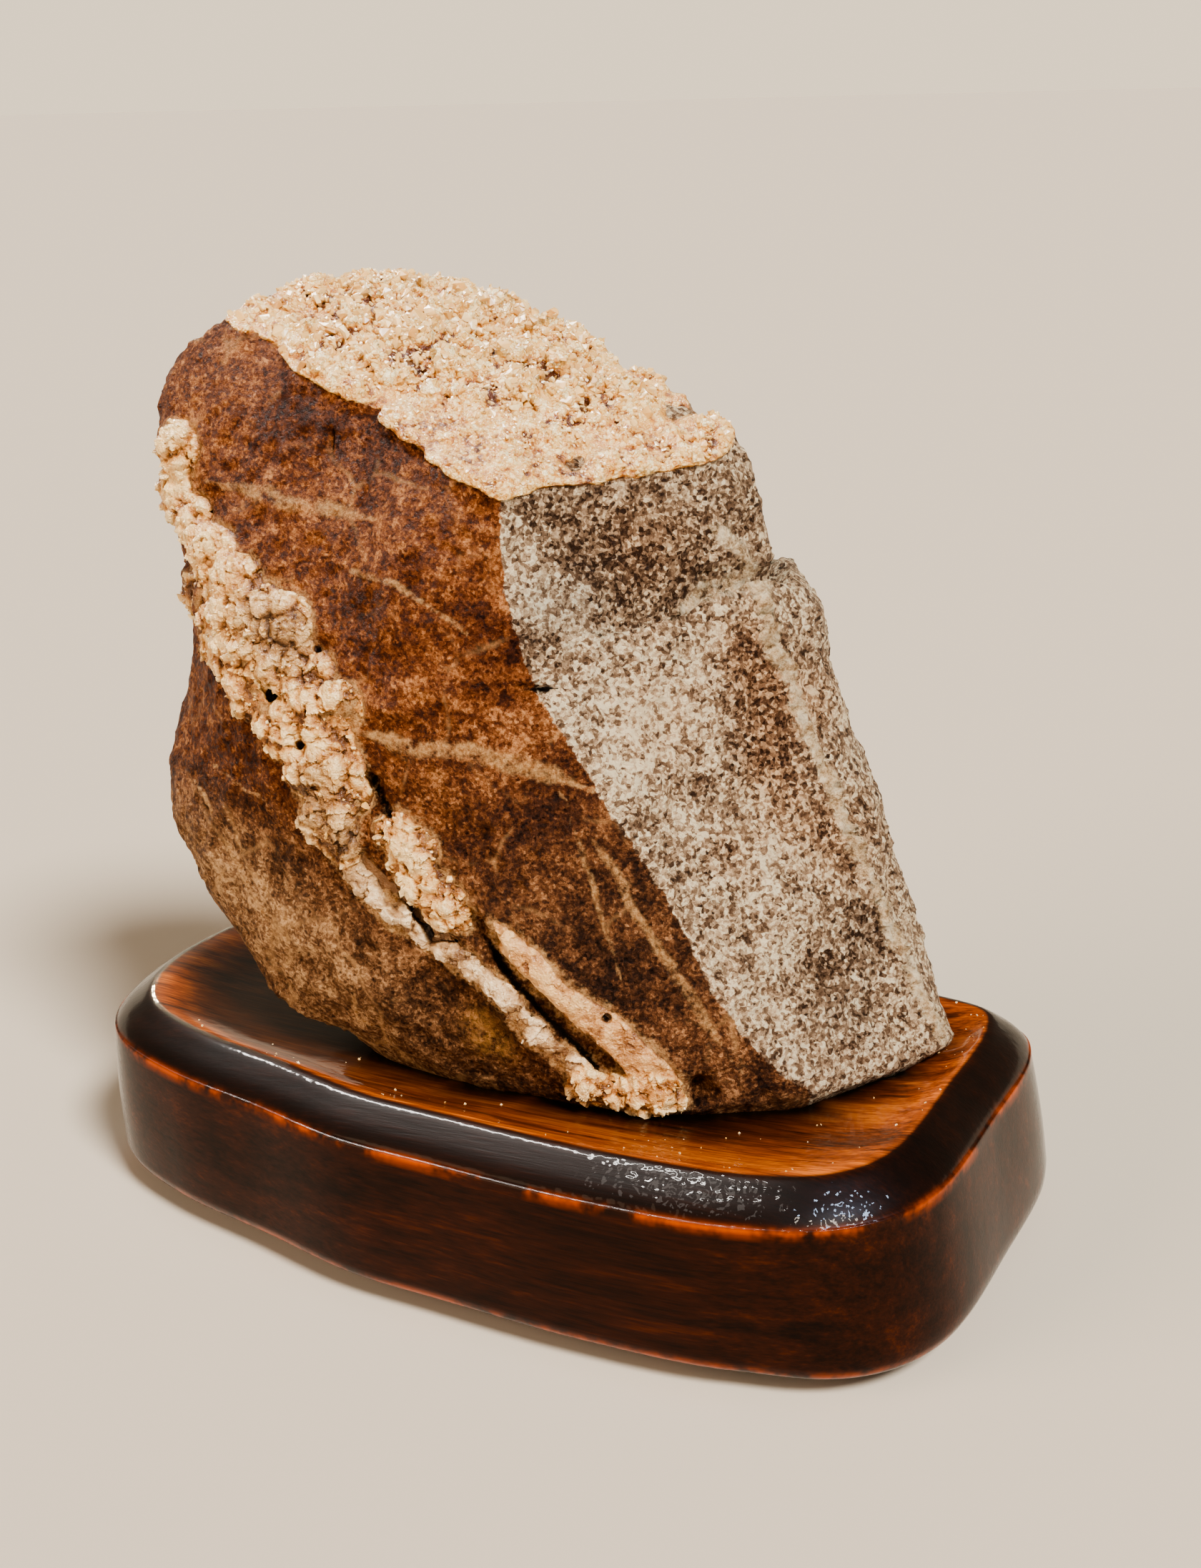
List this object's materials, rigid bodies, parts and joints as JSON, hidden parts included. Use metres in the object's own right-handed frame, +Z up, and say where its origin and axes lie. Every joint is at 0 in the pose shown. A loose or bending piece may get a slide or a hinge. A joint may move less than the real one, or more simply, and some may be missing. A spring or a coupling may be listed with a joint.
{
  "type": "viewing stone",
  "caption": "Natural stone with a white crystal crust and veins, leaning in the seat of a varnished wooden stand.",
  "frame": {"origin": "middle of the flat underside of the stand's foot", "axes": "+X along the stand towards the end where the grey side of the stone faces, +Y to the back, +Z up; the show side faces -Y"},
  "size_m": [0.1814, 0.104, 0.1723],
  "materials": {
    "stone": "matt rock, rusty brown and speckled grey, with cream crystal crust and veins",
    "stand": "dark reddish-brown wood under thick glossy varnish"
  },
  "bodies": {
    "root": {"stone": "stone", "stand": "stand"}
  },
  "joints": []
}
